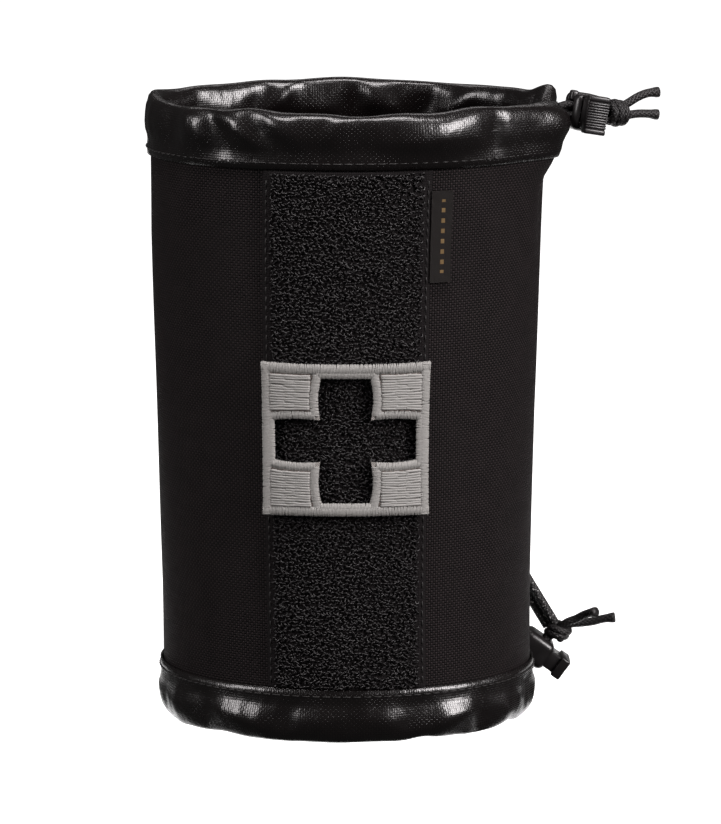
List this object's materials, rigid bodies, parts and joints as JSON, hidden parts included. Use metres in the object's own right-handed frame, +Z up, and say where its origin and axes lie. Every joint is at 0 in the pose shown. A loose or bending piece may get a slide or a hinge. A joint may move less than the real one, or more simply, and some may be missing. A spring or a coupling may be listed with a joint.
{
  "type": "tourniquet pouch",
  "caption": "Open sleeve pouch of woven nylon with a drawcord hem and cord lock at each end, a hook-and-loop front with a peel-off cross patch, and rear mounting straps.",
  "frame": {"origin": "middle of the pouch's box on the surface it stands on, the free cords and locks left out", "axes": "+Z up the sleeve towards the mouth with the raised lock, -Y out of the front with the patch, +X towards the cord locks"},
  "size_m": [0.158, 0.103, 0.193],
  "materials": {
    "woven_fabric": "matte black plain-weave nylon",
    "coated_fabric": "black coated nylon with a soft gloss",
    "loop_tape": "black hook-and-loop tape, loop side",
    "hook_tape": "black hook-and-loop tape, hook side",
    "label_ribbon": "dark woven ribbon",
    "patch_twill": "light warm grey satin stitch over twill",
    "patch_thread": "light warm grey embroidery thread, level runs",
    "webbing": "black nylon webbing",
    "elastic_cord": "black braided sheath over rubber",
    "moulded_plastic": "dark grey acetal, satin",
    "spring_steel": "bright spring wire",
    "snap_metal": "blackened brass snap"
  },
  "bodies": {
    "pouch": {"body_tube": "woven_fabric", "top_hem": "coated_fabric", "bottom_hem": "coated_fabric", "top_drawcord": "elastic_cord", "bottom_drawcord": "elastic_cord", "loop_field": "loop_tape", "side_label": "label_ribbon", "webbing_row_upper": "webbing", "webbing_row_lower": "webbing", "snap_stud_left": "snap_metal", "snap_stud_right": "snap_metal", "retainer_tab": "webbing", "retainer_elastic": "elastic_cord", "top_lock_body": "moulded_plastic", "bottom_lock_body": "moulded_plastic", "top_spring": "spring_steel", "bottom_spring": "spring_steel", "top_cord_link_a": "elastic_cord", "top_cord_link_b": "elastic_cord", "bottom_cord_link_a": "elastic_cord", "bottom_cord_link_b": "elastic_cord"},
    "patch": {"patch_hook_backing": "hook_tape", "patch_frame": "patch_twill", "patch_fill_upper_left": "patch_thread", "patch_fill_upper_right": "patch_thread", "patch_fill_lower_left": "patch_thread", "patch_fill_lower_right": "patch_thread"},
    "top_plunger_body": {"top_plunger": "moulded_plastic"},
    "bottom_plunger_body": {"bottom_plunger": "moulded_plastic"},
    "top_cord_end": {"top_cord_run_a": "elastic_cord", "top_cord_run_b": "elastic_cord", "top_cord_knot": "elastic_cord", "top_cord_tail_a": "elastic_cord", "top_cord_tail_b": "elastic_cord"},
    "bottom_cord_end": {"bottom_cord_run_a": "elastic_cord", "bottom_cord_run_b": "elastic_cord", "bottom_cord_knot": "elastic_cord", "bottom_cord_tail_a": "elastic_cord", "bottom_cord_tail_b": "elastic_cord"},
    "strap_left": {"mounting_strap_left": "webbing", "snap_cap_left": "snap_metal"},
    "strap_right": {"mounting_strap_right": "webbing", "snap_cap_right": "snap_metal"}
  },
  "joints": [
    {"name": "patch_peel", "type": "slide", "parent": "pouch", "child": "patch", "axis": [0, -1, 0], "range_m": [0, 0.03]},
    {"name": "top_plunger_press", "type": "slide", "parent": "pouch", "child": "top_plunger_body", "axis": [-0.3419, 0.9397, 0], "range_m": [0, 0.0024], "stiffness_N_per_m": 1000, "springref_m": -0.004, "deforming": ["top_spring"]},
    {"name": "bottom_plunger_press", "type": "slide", "parent": "pouch", "child": "bottom_plunger_body", "axis": [-0.8139, 0, 0.581], "range_m": [0, 0.0024], "stiffness_N_per_m": 1000, "springref_m": -0.004, "deforming": ["bottom_spring"]},
    {"name": "top_cord_pull", "type": "slide", "parent": "pouch", "child": "top_cord_end", "axis": [0.9255, 0.3367, -0.1736], "range_m": [0, 0.007]},
    {"name": "bottom_cord_pull", "type": "slide", "parent": "pouch", "child": "bottom_cord_end", "axis": [0.581, 0, 0.8139], "range_m": [0, 0.007]},
    {"name": "strap_left_open", "type": "hinge", "parent": "pouch", "child": "strap_left", "pos_m": [-0.02144, 0.04733, 0.158], "axis": [0.9602, 0.2792, 0], "range_deg": [0, 110]},
    {"name": "strap_right_open", "type": "hinge", "parent": "pouch", "child": "strap_right", "pos_m": [0.01905, 0.04733, 0.158], "axis": [0.9602, -0.2792, 0], "range_deg": [0, 110]}
  ]
}
